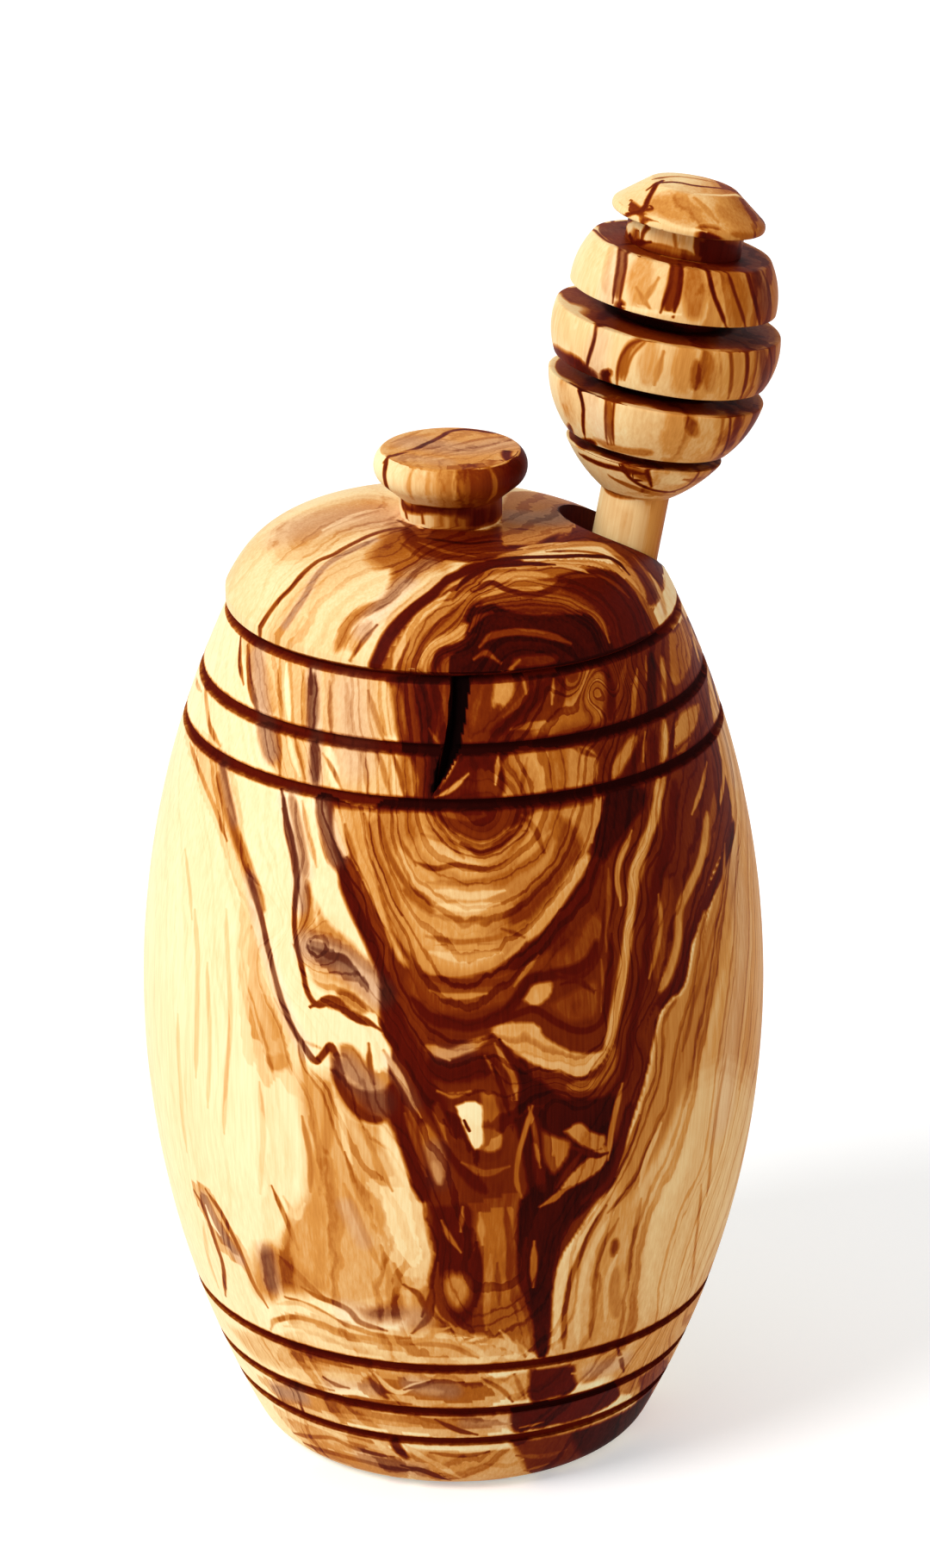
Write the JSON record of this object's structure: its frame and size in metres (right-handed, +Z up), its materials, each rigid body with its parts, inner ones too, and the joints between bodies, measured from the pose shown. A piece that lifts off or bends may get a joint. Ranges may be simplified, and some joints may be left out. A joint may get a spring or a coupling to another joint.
{
  "type": "honey pot",
  "caption": "Turned olive-wood honey pot: barrel-shaped pot, lift-off lid with a turned knob, and a ringed honey dipper leaning in a hole through the lid.",
  "frame": {"origin": "centre of the pot's flat base, on the surface that it stands on", "axes": "+Z up along the pot's turning axis; -Y is the front, where the rim has its natural check; the dipper leans out to +X"},
  "size_m": [0.086, 0.085, 0.1764],
  "materials": {
    "pot_wood": "satin waxed olive wood, pale sapwood with dark figured heartwood, burnt grooves",
    "lid_wood": "satin waxed olive wood, figured, with end grain on the crown",
    "dipper_wood": "satin waxed olive wood, straight grain, burnt grooves"
  },
  "bodies": {
    "pot": {"pot_body": "pot_wood"},
    "lid": {"lid": "lid_wood"},
    "dipper": {"honey_dipper": "dipper_wood"}
  },
  "joints": [
    {"name": "lid_lift", "type": "slide", "parent": "pot", "child": "lid", "axis": [0, 0, 1], "range_m": [0, 0.125]},
    {"name": "dipper_draw", "type": "slide", "parent": "lid", "child": "dipper", "axis": [0.1738, 0.0338, 0.9842], "range_m": [0, 0.14]}
  ]
}
